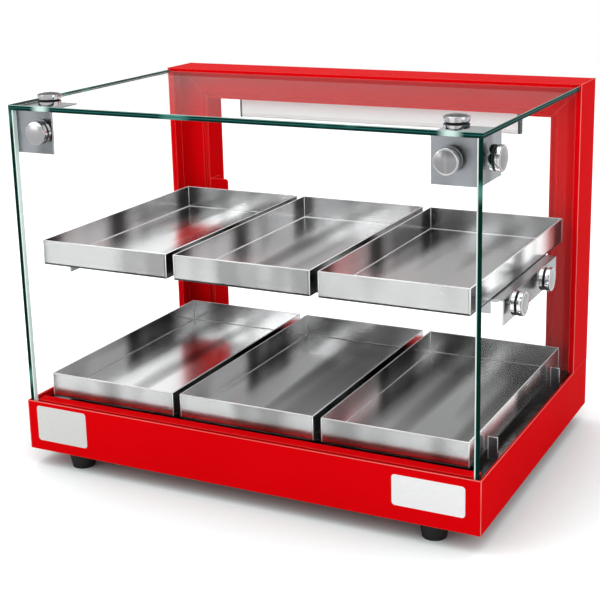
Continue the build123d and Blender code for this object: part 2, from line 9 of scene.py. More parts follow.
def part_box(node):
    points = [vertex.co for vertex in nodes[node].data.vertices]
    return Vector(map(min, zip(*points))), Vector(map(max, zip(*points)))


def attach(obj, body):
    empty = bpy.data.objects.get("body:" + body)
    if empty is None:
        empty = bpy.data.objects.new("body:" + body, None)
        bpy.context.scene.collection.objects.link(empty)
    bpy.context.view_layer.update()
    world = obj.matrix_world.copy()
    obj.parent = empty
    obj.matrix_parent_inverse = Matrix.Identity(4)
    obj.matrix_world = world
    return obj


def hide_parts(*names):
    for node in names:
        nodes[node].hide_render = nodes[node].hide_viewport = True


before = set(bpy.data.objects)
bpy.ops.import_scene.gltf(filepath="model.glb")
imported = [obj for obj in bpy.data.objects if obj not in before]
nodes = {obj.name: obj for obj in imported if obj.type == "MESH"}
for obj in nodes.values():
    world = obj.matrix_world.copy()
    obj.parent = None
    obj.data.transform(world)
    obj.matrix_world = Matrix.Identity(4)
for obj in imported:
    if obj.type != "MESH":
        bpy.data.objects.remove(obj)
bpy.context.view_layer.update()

# Sizes that the looks share with the solids, in metres, from the floor under the middle of the case
HALF, FRONT, BACK = 0.300, -0.2125, 0.2125
BASE_FOOT, BASE_RIM, PORTAL_FRONT, PORTAL_TOP = 0.022, 0.086, 0.1465, 0.462
DECK_TOP, PANE_INNER, TOP_PANE_UNDERSIDE = 0.0781, 0.2908, 0.4538
LEFT_KNOB_X, RIGHT_KNOB_X, KNOB_LEVEL = -0.250, 0.262, 0.430
FRONT_KNOB_Y, TOP_KNOB_Y, SIDE_KNOB_Y = -0.2097, -0.1905, -0.1825
SIDE_KNOB_X, TOP_KNOB_Z, RAIL_LEVEL = 0.2972, 0.460, 0.2525

TRAY_LEVELS = ("upper", "lower")
TRAY_PLACES = ("left", "middle", "right")


# Shader helpers

def new_material(name):
    """An empty node material with its output and one Principled BSDF."""
    material = bpy.data.materials.new(name)
    material.use_nodes = True
    tree = material.node_tree
    tree.nodes.clear()
    output = tree.nodes.new("ShaderNodeOutputMaterial")
    shader = tree.nodes.new("ShaderNodeBsdfPrincipled")
    tree.links.new(shader.outputs[0], output.inputs["Surface"])
    return material, tree, shader, output


def set_plain(shader, **values):
    """Writes constant values straight on the Principled sockets, underscores standing for spaces."""
    for key, value in values.items():
        shader.inputs[key.replace("_", " ")].default_value = value


def group(name, inputs, outputs):
    """A shader node group with named sockets: (name, type, default) for inputs, (name, type) for outputs."""
    tree = bpy.data.node_groups.new(name, "ShaderNodeTree")
    for label, kind, default in inputs:
        socket = tree.interface.new_socket(label, in_out="INPUT", socket_type=kind)
        socket.default_value = default
    for label, kind in outputs:
        tree.interface.new_socket(label, in_out="OUTPUT", socket_type=kind)
    return tree, tree.nodes.new("NodeGroupInput"), tree.nodes.new("NodeGroupOutput")


def place(tree, source, **values):
    """Puts a node group in a material and sets its inputs."""
    node = tree.nodes.new("ShaderNodeGroup")
    node.node_tree = source
    for key, value in values.items():
        node.inputs[key.replace("_", " ")].default_value = value
    return node


def feed(tree, socket, value):
    """Gives a socket a number, or links it to another socket."""
    if isinstance(value, bpy.types.NodeSocket):
        tree.links.new(value, socket)
    else:
        socket.default_value = value


def mix_colour(tree, factor, a, b):
    """A colour mix node fed by a factor socket; a and b are colours or sockets."""
    mix = tree.nodes.new("ShaderNodeMix")
    mix.data_type = "RGBA"
    tree.links.new(factor, mix.inputs["Factor"])
    for socket, value in ((mix.inputs[6], a), (mix.inputs[7], b)):
        feed(tree, socket, value if isinstance(value, bpy.types.NodeSocket) else (*value, 1.0))
    return mix.outputs[2]


def mix_value(tree, factor, a, b):
    """A number mix node fed by a factor socket; a and b are numbers or sockets."""
    mix = tree.nodes.new("ShaderNodeMix")
    tree.links.new(factor, mix.inputs["Factor"])
    feed(tree, mix.inputs[2], a)
    feed(tree, mix.inputs[3], b)
    return mix.outputs[0]


def ranged(tree, value, low, high):
    """Maps 0..1 onto low..high."""
    node = tree.nodes.new("ShaderNodeMapRange")
    tree.links.new(value, node.inputs["Value"])
    node.inputs["To Min"].default_value = low
    node.inputs["To Max"].default_value = high
    return node.outputs["Result"]


def ramp(tree, value, low, high):
    """Climbs smoothly from 0 at low to 1 at high; low may be the larger one."""
    node = tree.nodes.new("ShaderNodeMapRange")
    node.interpolation_type = "SMOOTHSTEP"
    for key, limit in (("Value", value), ("From Min", low), ("From Max", high)):
        feed(tree, node.inputs[key], limit)
    return node.outputs["Result"]


def maths(tree, operation, a, b):
    """One Math node; each input is a number or a socket."""
    node = tree.nodes.new("ShaderNodeMath")
    node.operation = operation
    feed(tree, node.inputs[0], a)
    feed(tree, node.inputs[1], b)
    return node.outputs[0]


def object_place(tree):
    """The Texture Coordinate node, whose Object output is the place on the part in metres."""
    return tree.nodes.new("ShaderNodeTexCoord")


def noise(tree, coordinate, scale, detail=2.0):
    """Noise from 0 to 1 at a coordinate."""
    field = tree.nodes.new("ShaderNodeTexNoise")
    field.inputs["Scale"].default_value = scale
    field.inputs["Detail"].default_value = detail
    tree.links.new(coordinate, field.inputs["Vector"])
    return field.outputs["Fac"]


def split(tree, coordinate):
    """The X, Y and Z of a coordinate."""
    axes = tree.nodes.new("ShaderNodeSeparateXYZ")
    tree.links.new(coordinate, axes.inputs[0])
    return axes.outputs


def grain_bump(tree, shader, height, strength, distance, normal=None):
    """Feeds a bump of a height to the shader's Normal, over another normal where one is given."""
    node = tree.nodes.new("ShaderNodeBump")
    node.inputs["Strength"].default_value = strength
    node.inputs["Distance"].default_value = distance
    tree.links.new(height, node.inputs["Height"])
    if normal is not None:
        tree.links.new(normal, node.inputs["Normal"])
    tree.links.new(node.outputs[0], shader.inputs["Normal"])


def brushed_group():
    """Brushed sheet. Grain out is fine noise stretched by the Grain scales. Tone is soft light and dark
    bands from noise along one line: along X on floors and cross walls, by Across, and along Y on walls
    that face sideways, by Along; the bands are partly the sheet's own tone and partly painted streaks of reflected
    light.
    The bands are spread between Low and High, drawn by Calm to one even tone on cross walls, given Fine
    of the grain, and painted lighter by Front towards the front of floors, a painted pool of light."""
    number = "NodeSocketFloat"
    tree, start, end = group(
        "brushed_sheet",
        [("Grain", "NodeSocketVector", (4.0, 900.0, 900.0)), ("Across", number, 15.0), ("Along", number, 9.0),
         ("Low", number, 0.38), ("High", number, 0.66), ("Fine", number, 0.06), ("Calm", number, 0.0),
         ("Front", number, 0.0)],
        [("Grain", number), ("Tone", number)],
    )
    drift_up, drift_back, even_tone = 3.0, 1.2, 0.27
    unlifted_y, lifted_y = 0.12, -0.20
    links = tree.links
    place_of = object_place(tree)
    stretch = tree.nodes.new("ShaderNodeVectorMath")
    stretch.operation = "MULTIPLY"
    links.new(place_of.outputs["Object"], stretch.inputs[0])
    links.new(start.outputs["Grain"], stretch.inputs[1])
    x, y, z = split(tree, place_of.outputs["Object"])
    facing_x, facing_y, facing_z = split(tree, place_of.outputs["Normal"])
    run = mix_value(tree, maths(tree, "ABSOLUTE", facing_x, 0.0),
                    maths(tree, "MULTIPLY", x, start.outputs["Across"]),
                    maths(tree, "MULTIPLY", y, start.outputs["Along"]))
    line = tree.nodes.new("ShaderNodeCombineXYZ")
    links.new(run, line.inputs["X"])
    links.new(maths(tree, "MULTIPLY", z, drift_up), line.inputs["Y"])
    links.new(maths(tree, "MULTIPLY", y, drift_back), line.inputs["Z"])
    grain = noise(tree, stretch.outputs[0], 1.0)
    bands = ramp(tree, noise(tree, line.outputs[0], 1.0, 1.0), start.outputs["Low"], start.outputs["High"])
    cross_wall = maths(tree, "MULTIPLY", maths(tree, "ABSOLUTE", facing_y, 0.0), start.outputs["Calm"])
    body = mix_value(tree, cross_wall, bands, even_tone)
    fine = maths(tree, "MULTIPLY", maths(tree, "SUBTRACT", grain, 0.5), start.outputs["Fine"])
    # Painted light: floors lighter towards the front
    forward = maths(tree, "MULTIPLY", ramp(tree, y, unlifted_y, lifted_y), start.outputs["Front"])
    painted_front_light = maths(tree, "MULTIPLY", forward, facing_z)
    tone = tree.nodes.new("ShaderNodeClamp")
    links.new(maths(tree, "ADD", maths(tree, "ADD", body, fine), painted_front_light), tone.inputs["Value"])
    links.new(grain, end.inputs["Grain"])
    links.new(tone.outputs[0], end.inputs["Tone"])
    return tree


def edge_highlight_group():
    """Mask for painted highlight lines where the surface turns. Edge is one minus the dot product of the bevel
    normal and the flat normal, times Gain, held between 0 and 1, and Normal is the bevel normal."""
    tree, start, end = group(
        "edge_highlight_line",
        [("Gain", "NodeSocketFloat", 3.0)],
        [("Edge", "NodeSocketFloat"), ("Normal", "NodeSocketVector")],
    )
    bevel = tree.nodes.new("ShaderNodeBevel")
    bevel.samples = 4
    bevel.inputs["Radius"].default_value = 0.0011
    geometry = tree.nodes.new("ShaderNodeNewGeometry")
    dot = tree.nodes.new("ShaderNodeVectorMath")
    dot.operation = "DOT_PRODUCT"
    tree.links.new(bevel.outputs[0], dot.inputs[0])
    tree.links.new(geometry.outputs["True Normal"], dot.inputs[1])
    turn = maths(tree, "SUBTRACT", 1.0, dot.outputs["Value"])
    held = tree.nodes.new("ShaderNodeClamp")
    tree.links.new(maths(tree, "MULTIPLY", turn, start.outputs["Gain"]), held.inputs["Value"])
    tree.links.new(held.outputs[0], end.inputs["Edge"])
    tree.links.new(bevel.outputs[0], end.inputs["Normal"])
    return tree


BRUSHED = brushed_group()
EDGE_HIGHLIGHT = edge_highlight_group()


def steel(name, dark, light, grain, roughness, bands=(15.0, 9.0), spread=(0.36, 0.66), bump=0.02,
          anisotropy=0.4, line=0.0, metallic=1.0, calm=0.0, front=0.0):
    """Brushed stainless steel: soft light and dark bands, partly the sheet's own tone and partly painted streaks
    of reflected light, a fine grain in tone and roughness, and painted highlights along the folds where line is
    above zero."""
    material, tree, shader, _ = new_material(name)
    set_plain(shader, Anisotropic=anisotropy, Metallic=metallic)
    sheet = place(tree, BRUSHED, Grain=grain, Across=bands[0], Along=bands[1], Low=spread[0], High=spread[1],
                  Calm=calm, Front=front)
    body = mix_colour(tree, sheet.outputs["Tone"], dark, light)
    normal = None
    # Painted highlight: the folds are mixed towards near white
    if line > 0:
        fold = place(tree, EDGE_HIGHLIGHT, Gain=line)
        body = mix_colour(tree, fold.outputs["Edge"], body, (0.95, 0.95, 0.95))
        normal = fold.outputs["Normal"]
    tree.links.new(body, shader.inputs["Base Color"])
    tree.links.new(ranged(tree, sheet.outputs["Grain"], *roughness), shader.inputs["Roughness"])
    grain_bump(tree, shader, sheet.outputs["Grain"], bump, 0.0001, normal)
    return material


def paint(name, colour, deep, bright):
    """Gloss powder paint: a slight drift of tone, a fine orange-peel bump and painted highlight lines along the
    folds."""
    material, tree, shader, _ = new_material(name)
    set_plain(shader, IOR=1.02)
    place_of = object_place(tree)
    drift = noise(tree, place_of.outputs["Object"], 7.0)
    peel = noise(tree, place_of.outputs["Object"], 900.0, 1.0)
    line = place(tree, EDGE_HIGHLIGHT, Gain=3.5)
    body = mix_colour(tree, drift, deep, colour)
    # Painted highlight: the bright colour is mixed in along the folds
    tree.links.new(mix_colour(tree, line.outputs["Edge"], body, bright), shader.inputs["Base Color"])
    tree.links.new(ranged(tree, peel, 0.22, 0.31), shader.inputs["Roughness"])
    grain_bump(tree, shader, peel, 0.05, 0.0003, line.outputs["Normal"])
    return material


def plastic(name, low, high, roughness, scale=900.0):
    """Moulded plastic or rubber: two near tones and a fine moulded grain."""
    material, tree, shader, _ = new_material(name)
    grain = noise(tree, object_place(tree).outputs["Object"], scale)
    tree.links.new(mix_colour(tree, grain, low, high), shader.inputs["Base Color"])
    tree.links.new(ranged(tree, grain, roughness - 0.06, roughness + 0.06), shader.inputs["Roughness"])
    grain_bump(tree, shader, grain, 0.12, 0.0002)
    return material


def pane_face(name):
    """Clear float glass with faint smears; shadow and diffuse rays pass straight through it."""
    material, tree, shader, output = new_material(name)
    set_plain(shader, Roughness=0.0, Transmission_Weight=1.0, IOR=1.02, Metallic=0.0)
    smear = noise(tree, object_place(tree).outputs["Object"], 9.0)
    tree.links.new(mix_colour(tree, smear, (0.975, 0.992, 0.987), (0.995, 0.998, 0.997)),
                   shader.inputs["Base Color"])
    path = tree.nodes.new("ShaderNodeLightPath")
    clear = tree.nodes.new("ShaderNodeBsdfTransparent")
    clear.inputs["Color"].default_value = (0.99, 0.995, 0.993, 1.0)
    passed = maths(tree, "MAXIMUM", path.outputs["Is Shadow Ray"], path.outputs["Is Diffuse Ray"])
    mix = tree.nodes.new("ShaderNodeMixShader")
    tree.links.new(passed, mix.inputs[0])
    tree.links.new(shader.outputs[0], mix.inputs[1])
    tree.links.new(clear.outputs[0], mix.inputs[2])
    tree.links.new(mix.outputs[0], output.inputs["Surface"])
    return material


def band(tree, value, low, high, soft):
    """One between low and high, falling to nothing over soft on both sides."""
    return maths(tree, "MULTIPLY", ramp(tree, value, low - soft, low + soft),
                 ramp(tree, value, high + soft, high - soft))


def pane_edge(name):
    """Polished glass edge: deep green with mint runs along it, and painted light on it: a lighter green line
    midway up the top pane's edge as a painted reflection, a pale painted highlight on its upper arris and
    on the inner arris of the upright edges, and a white painted reflection of each knob on the top pane's edge."""
    material, tree, shader, _ = new_material(name)
    set_plain(shader, IOR=1.06)
    place_of = object_place(tree)
    across, _, level = split(tree, place_of.outputs["Object"])
    runs = noise(tree, place_of.outputs["Object"], 14.0, 1.0)
    halfway_reflection = band(tree, level, 0.4563, 0.4572, 0.0005)
    inner_arris_highlight = band(tree, maths(tree, "ABSOLUTE", across, 0.0), 0.2905, 0.2924, 0.0003)
    # Painted highlight on the inner arris of the upright edges
    upright = maths(tree, "MULTIPLY", inner_arris_highlight, maths(tree, "LESS_THAN", level, TOP_PANE_UNDERSIDE))
    upper_arris_highlight = maths(tree, "MULTIPLY", band(tree, level, 0.4592, PORTAL_TOP, 0.0004),
                        ranged(tree, runs, 0.3, 1.2))
    colour = mix_colour(tree, ramp(tree, runs, 0.60, 0.76), (0.0015, 0.020, 0.016), (0.10, 0.34, 0.28))
    colour = mix_colour(tree, halfway_reflection, colour, (0.02, 0.13, 0.12))
    colour = mix_colour(tree, upright, colour, (0.72, 0.86, 0.82))
    colour = mix_colour(tree, upper_arris_highlight, colour, (0.38, 0.60, 0.54))
    # Painted reflection of each knob, white on the top pane's edge in front of it
    for knob_x in (LEFT_KNOB_X, RIGHT_KNOB_X):
        knob_reflection = maths(tree, "MULTIPLY", band(tree, across, knob_x - 0.009, knob_x + 0.009, 0.007),
                      maths(tree, "GREATER_THAN", level, TOP_PANE_UNDERSIDE))
        colour = mix_colour(tree, knob_reflection, colour, (0.62, 0.80, 0.75))
    tree.links.new(colour, shader.inputs["Base Color"])
    tree.links.new(ranged(tree, runs, 0.12, 0.24), shader.inputs["Roughness"])
    return material


# Grain scales: lines along X, lines along Z and no direction
ALONG_X, ALONG_Z, EVEN = (6.0, 900.0, 900.0), (900.0, 900.0, 8.0), (900.0, 900.0, 900.0)

# The last colour of each paint is its painted highlight along the folds
FOLD_HIGHLIGHT = paint("fold_highlight_red", (0.92, 0.13, 0.11), (0.80, 0.05, 0.05), (0.95, 0.25, 0.22))
RED = paint("red_paint", (0.72, 0.0015, 0.004), (0.62, 0.001, 0.003), (0.95, 0.16, 0.13))
# Tray steel: its wide bands are largely painted reflections of the studio lights, evened on front and back walls,
# and its floors are painted lighter towards the front
TRAY = steel("tray_steel", (0.06, 0.058, 0.055), (0.94, 0.94, 0.95), ALONG_X, (0.18, 0.24),
             (18.0, 11.0), (0.36, 0.62), bump=0.0, calm=0.75, front=0.55)
# Near black bead under each tray's bottom fold: a painted shadow line
TRAY_UNDER_SHADE = steel("tray_under_shadow", (0.03, 0.03, 0.03), (0.07, 0.07, 0.07), ALONG_X, (0.30, 0.40), bump=0.0)
SHELF = steel("shelf_steel", (0.15, 0.15, 0.155), (0.33, 0.33, 0.34), ALONG_X, (0.24, 0.34), line=4.0,
              bump=0.0)
SATIN = steel("satin_steel", (0.14, 0.145, 0.155), (0.27, 0.28, 0.30), ALONG_Z, (0.28, 0.38),
              (22.0, 22.0), line=3.0)
DECK = steel("deck_steel", (0.09, 0.09, 0.088), (0.19, 0.19, 0.185), (6.0, 1200.0, 1200.0), (0.24, 0.32),
             bump=0.0)
COVER = steel("cover_steel", (0.36, 0.36, 0.36), (0.56, 0.56, 0.56), ALONG_X, (0.35, 0.50))
CHROME = steel("knob_chrome", (0.46, 0.46, 0.47), (0.78, 0.78, 0.79), (90.0, 90.0, 90.0), (0.05, 0.09),
               (9.0, 9.0), bump=0.0, anisotropy=0.0)
FACE = steel("knob_face", (0.36, 0.36, 0.37), (0.66, 0.66, 0.67), EVEN, (0.20, 0.28),
             (6.0, 6.0), bump=0.0, anisotropy=0.0)
# Near white beads that stand for highlights on arrises
ARRIS_HIGHLIGHT = steel("painted_arris_highlight", (0.80, 0.80, 0.80), (0.98, 0.98, 0.98), (300.0, 300.0, 300.0),
               (0.30, 0.45), (30.0, 30.0), bump=0.0, anisotropy=0.0, metallic=0.3)
NECK = plastic("knob_neck", (0.010, 0.010, 0.010), (0.022, 0.022, 0.022), 0.45)
BLACK_PAINT = plastic("black_paint", (0.008, 0.008, 0.008), (0.020, 0.020, 0.020), 0.40, 600.0)
BLACK = plastic("black_plastic", (0.012, 0.012, 0.012), (0.030, 0.030, 0.030), 0.42)
RUBBER = plastic("foot_rubber", (0.006, 0.006, 0.006), (0.018, 0.018, 0.018), 0.62, 700.0)
ROCKER = plastic("rocker_red", (0.42, 0.006, 0.006), (0.52, 0.010, 0.008), 0.25, 300.0)
LAMP = plastic("lamp_body", (0.92, 0.94, 0.94), (0.97, 0.98, 0.98), 0.42, 200.0)
DIFFUSER = plastic("lamp_diffuser", (0.80, 0.80, 0.79), (0.88, 0.88, 0.87), 0.35, 250.0)
CERAMIC = plastic("terminal_ceramic", (0.70, 0.67, 0.58), (0.80, 0.77, 0.68), 0.40, 150.0)
PLATE_GREY = plastic("label_grey", (0.60, 0.60, 0.58), (0.68, 0.68, 0.66), 0.38, 240.0)
PLATE_WHITE = plastic("label_white", (0.80, 0.80, 0.80), (0.88, 0.88, 0.88), 0.36, 240.0)
PANE = pane_face("pane_face")
PANE_EDGE = pane_edge("pane_edge")


def dress(names, *materials):
    """Gives CAD nodes their materials."""
    for name in names:
        slots = nodes[name].data.materials
        slots.clear()
        for material in materials:
            slots.append(material)


def per_face(mesh, what):
    """Every face's normal or center, by that name, as the rows of an array."""
    values = np.empty(len(mesh.polygons) * 3)
    mesh.polygons.foreach_get(what, values)
    return values.reshape(-1, 3)


def assign(mesh, index):
    """Writes a material index per face."""
    mesh.polygons.foreach_set("material_index", np.asarray(index, np.int32))
    mesh.update()


def around_knobs(mesh, knobs, low, high, reach):
    """The faces whose centre lies between low and high along a knob's axis and within reach of it."""
    centre = per_face(mesh, "center")
    chosen = np.zeros(len(centre), bool)
    for point, axis in knobs:
        offset = centre - np.asarray(point)
        along = offset @ np.asarray(axis, float)
        radial = np.linalg.norm(offset - along[:, None] * np.asarray(axis, float), axis=1)
        chosen |= (along > low) & (along < high) & (radial < reach)
    return chosen


dress(["base_housing", "left_post", "right_post", "top_beam", "tray_stop_tab"], RED)
dress([f"{level}_tray_{side}" for level in TRAY_LEVELS for side in TRAY_PLACES], TRAY)
dress(["shelf_rail_left", "shelf_rail_right", "shelf_front_bar", "shelf_rear_bar"], SHELF)
dress(["corner_bracket_left", "corner_bracket_right", "deck_guide_tabs"], SATIN)
dress(["base_deck"], DECK)
dress(["bottom_cover", "element_clips", "heating_element"], COVER)
dress(["guide_tab_nuts"], CHROME)
dress(["tray_runner_front", "tray_runner_rear"], BLACK_PAINT)
dress(["lamp_housing"], LAMP)
dress(["lamp_diffuser"], DIFFUSER)
dress(["lamp_end_caps", "switch_body", "cable_gland", "gland_locknut"], BLACK)
dress(["switch_rocker"], ROCKER)
dress(["feet"], RUBBER)
dress(["terminal_block"], CERAMIC)
dress(["corner_knob_bases", "rail_knob_bases"], CHROME, NECK)
dress(["corner_knob_caps", "rail_knob_caps"], CHROME, FACE)

# Each pane is clear on its two broad faces and on the edge that butts against the portal, and green on the
# other edges
for pane_name, axis in (("glass_front", 1), ("glass_left", 0), ("glass_right", 0), ("glass_top", 2)):
    dress([pane_name], PANE, PANE_EDGE)
    normal = per_face(nodes[pane_name].data, "normal")
    assign(nodes[pane_name].data, (np.abs(normal[:, axis]) < 0.9) & (normal[:, 1] < 0.9))


# New pieces

def mesh_piece(name, vertices, faces, material, body, slot, smooth=True):
    """A piece from arrays, riding a body. The slot is not used."""
    mesh = bpy.data.meshes.new(name)
    mesh.from_pydata(vertices.tolist(), [], faces)
    mesh.materials.append(material)
    if smooth:
        mesh.polygons.foreach_set("use_smooth", np.ones(len(mesh.polygons), bool))
    mesh.update()
    piece = bpy.data.objects.new(name, mesh)
    bpy.context.scene.collection.objects.link(piece)
    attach(piece, body)
    return piece


def frame_of(axis):
    """Two unit vectors square to an axis, as rows."""
    axis = np.asarray(axis, float)
    side = np.array((0.0, 0.0, 1.0)) if abs(axis[2]) < 0.5 else np.array((1.0, 0.0, 0.0))
    return side, np.cross(axis, side)


def turned(profile, point, axis, steps=48):
    """A surface of revolution: point + h * axis + r * (cos t * side + sin t * other) for each (r, h) of
    the profile and t evenly round the circle. The profile runs from back to front, and its two ends lie
    on the axis and close the surface there."""
    profile = np.asarray(profile, float)
    side, other = frame_of(axis)
    angle = np.linspace(0, 2 * np.pi, steps, endpoint=False)
    ring = np.cos(angle)[:, None] * side + np.sin(angle)[:, None] * other
    body = (np.asarray(point, float) + profile[1:-1, 1, None, None] * np.asarray(axis, float)
            + profile[1:-1, 0, None, None] * ring)
    poles = [np.asarray(point) + profile[end, 1] * np.asarray(axis) for end in (0, -1)]
    vertices = np.concatenate([body.reshape(-1, 3), poles])
    rows = len(profile) - 2
    i, j = np.meshgrid(np.arange(rows - 1), np.arange(steps), indexing="ij")
    k = (j + 1) % steps
    quads = np.stack([i * steps + j, i * steps + k, (i + 1) * steps + k, (i + 1) * steps + j], -1)
    j = np.arange(steps)
    k = (j + 1) % steps
    first = np.stack([np.full(steps, rows * steps), k, j], -1)
    last = np.stack([np.full(steps, rows * steps + 1), (rows - 1) * steps + j, (rows - 1) * steps + k], -1)
    return vertices, quads.reshape(-1, 4).tolist() + first.tolist() + last.tolist()


def joined(shapes):
    """Several (vertices, faces) shapes as one."""
    vertices, faces, offset = [], [], 0
    for points, polygons in shapes:
        vertices.append(points)
        faces += [[index + offset for index in polygon] for polygon in polygons]
        offset += len(points)
    return np.concatenate(vertices), faces


def rounded_outline(width, height, radius, steps=10):
    """A rounded rectangle: each corner is centre + radius * (cos t, sin t) over its quarter turn."""
    quarter = np.linspace(0, np.pi / 2, steps)
    corners = []
    for turn, (sx, sy) in enumerate(((1, 1), (-1, 1), (-1, -1), (1, -1))):
        angle = quarter + turn * np.pi / 2
        corners.append(np.stack([
            sx * (width / 2 - radius) + radius * np.cos(angle),
            sy * (height / 2 - radius) + radius * np.sin(angle),
        ], -1))
    return np.concatenate(corners)


def bare_plate(centre_x, centre_z, width, height):
    """A thin rounded plate on the front of the base, facing -Y: the outline at the back, the same outline
    in front, and the outline shrunk by the rim a little further out, closed by one face, so that its
    border catches a fine line of light."""
    radius, thickness, rim = 0.004, 0.0004, 0.0005
    outer = rounded_outline(width, height, radius)
    inner = rounded_outline(width - 2 * rim, height - 2 * rim, radius - rim)
    count = len(outer)
    levels = ((outer, FRONT), (outer, FRONT - 0.6 * thickness), (inner, FRONT - thickness))
    vertices = np.concatenate([
        np.stack([centre_x + line[:, 0], np.full(count, depth), centre_z + line[:, 1]], -1)
        for line, depth in levels
    ])
    j = np.arange(count)
    k = (j + 1) % count
    faces = []
    for level in (0, count):
        faces += np.stack([level + j, level + k, level + count + k, level + count + j], -1).tolist()
    return vertices, faces + [(2 * count + j).tolist(), j[::-1].tolist()]


# The two plates: place across, level of the middle, width and height
LEFT_PLATE = (-0.250, 0.058, 0.074, 0.046)
RIGHT_PLATE = (0.2394, 0.0583, 0.0858, 0.0365)
mesh_piece("label_plate_left", *bare_plate(*LEFT_PLATE), PLATE_GREY, "case", "satin_steel", smooth=False)
mesh_piece("label_plate_right", *bare_plate(*RIGHT_PLATE), PLATE_WHITE, "case", "lamp_diffuser", smooth=False)


def carried(section, x_low, x_high):
    """A closed section in Y and Z, anticlockwise as seen from +X, carried straight along X: every section
    point at both ends, joined by quads and closed by the two end faces."""
    section = np.asarray(section, float)
    count = len(section)
    vertices = np.concatenate([
        np.concatenate([np.full((count, 1), x), section], 1) for x in (x_low, x_high)
    ])
    j = np.arange(count)
    k = (j + 1) % count
    faces = np.stack([j, k, count + k, count + j], -1).tolist()
    return vertices, faces + [j[::-1].tolist(), (count + j).tolist()]


def bead(path, radius, closed=False, sides=8):
    """A thin round line along a path: at each path point a ring of radius * (cos t * a + sin t * b),
    where a and b are square to the mean direction of the two runs that meet there; open ends are closed
    by a face."""
    path = np.asarray(path, float)
    count = len(path)
    runs = np.roll(path, -1, 0) - path
    runs /= np.linalg.norm(runs, axis=1)[:, None] + 1e-12
    before = np.roll(runs, 1, 0)
    if not closed:
        runs[-1] = before[-1]
        before[0] = runs[0]
    middle = runs + before
    middle /= np.linalg.norm(middle, axis=1)[:, None]
    upright = np.abs(middle[:, 2:]) > 0.7
    a = np.cross(middle, np.where(upright, [[1.0, 0.0, 0.0]], [[0.0, 0.0, 1.0]]))
    a /= np.linalg.norm(a, axis=1)[:, None]
    b = np.cross(middle, a)
    stretch = 1.0 / np.maximum(np.einsum("ij,ij->i", middle, runs), 0.5)
    angle = np.linspace(0, 2 * np.pi, sides, endpoint=False)
    ring = (path[:, None] + radius * stretch[:, None, None] * np.cos(angle)[None, :, None] * a[:, None]
            + radius * np.sin(angle)[None, :, None] * b[:, None])
    last = count if closed else count - 1
    i, j = np.meshgrid(np.arange(last), np.arange(sides), indexing="ij")
    n, k = (i + 1) % count, (j + 1) % sides
    quads = np.stack([i * sides + j, i * sides + k, n * sides + k, n * sides + j], -1)
    faces = quads.reshape(-1, 4).tolist()
    if not closed:
        faces += [np.arange(sides)[::-1].tolist(), ((count - 1) * sides + np.arange(sides)).tolist()]
    return ring.reshape(-1, 3), faces


def loop_at(low, high, inset, level):
    """A rectangle round a box at one height, set in from its sides."""
    return [(low[0] + inset, low[1] + inset, level), (high[0] - inset, low[1] + inset, level),
            (high[0] - inset, high[1] - inset, level), (low[0] + inset, high[1] - inset, level)]


def tray_arris_highlights(low, high):
    """Painted highlight lines on the arrises of a tray, as near white beads: rim, the fold round its floor, and
    four upright corners outside and inside."""
    rim, line = 0.00065, 0.00045
    beads = [bead(loop_at(low, high, 0.0005, high[2] - 0.0002), rim, closed=True),
             bead(loop_at(low, high, 0.0015, low[2] + 0.0016), line, closed=True)]
    for inset in (0.0002, 0.0013):
        beads += [bead([(x, y, low[2] + 0.0008), (x, y, high[2] - 0.0004)], line)
                  for x, y, _ in loop_at(low, high, inset, 0.0)]
    return joined(beads)


# Painted highlights: near white beads along each tray's arrises
for tray_level in TRAY_LEVELS:
    for tray_place in TRAY_PLACES:
        low, high = (np.array(corner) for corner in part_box(f"{tray_level}_tray_{tray_place}"))
        mesh_piece(f"{tray_level}_tray_{tray_place}_edges", *tray_arris_highlights(low, high), ARRIS_HIGHLIGHT,
                   f"{tray_level}_{tray_place}_tray", "tray_steel")
        # Painted shadow: a near black bead round the foot of each tray
        under = bead(loop_at(low, high, 0.0004, low[2] + 0.0004), 0.0006, closed=True)
        mesh_piece(f"{tray_level}_tray_{tray_place}_under_shadow", *under, TRAY_UNDER_SHADE,
                   f"{tray_level}_{tray_place}_tray", "tray_steel")

# Painted highlight lines, near white beads, on the arrises of the four guide tabs: up the inner edge and along the
# top
TAB_INNER, TAB_FOOT, TAB_TOP, TAB_LINE = 0.2800, 0.0786, 0.1048, 0.0006
TAB_PLACES = (-0.1355, 0.1075)
tab_lines = [bead([(side * TAB_INNER, tab_y, TAB_FOOT), (side * TAB_INNER, tab_y, TAB_TOP),
                   (side * PANE_INNER, tab_y, TAB_TOP)], TAB_LINE)
             for side in (-1, 1) for tab_y in TAB_PLACES]
mesh_piece("guide_tab_edges", *joined(tab_lines), ARRIS_HIGHLIGHT, "case", "satin_steel")

# Painted highlight lines, beads of paler red, on the folds of the base and the portal
FOLD_LINE = 0.0005
fold_highlight_lines = [bead([(-HALF, FRONT, BASE_RIM), (HALF, FRONT, BASE_RIM)], FOLD_LINE)]
for side in (-1, 1):
    fold_highlight_lines += [
        bead([(side * HALF, FRONT, BASE_FOOT), (side * HALF, FRONT, BASE_RIM)], FOLD_LINE),
        bead([(side * HALF, FRONT, BASE_RIM), (side * HALF, PORTAL_FRONT, BASE_RIM),
              (side * HALF, PORTAL_FRONT, PORTAL_TOP), (side * HALF, BACK, PORTAL_TOP)], FOLD_LINE),
    ]
mesh_piece("fold_highlight_beads", *joined(fold_highlight_lines), FOLD_HIGHLIGHT, "case", "red_paint")


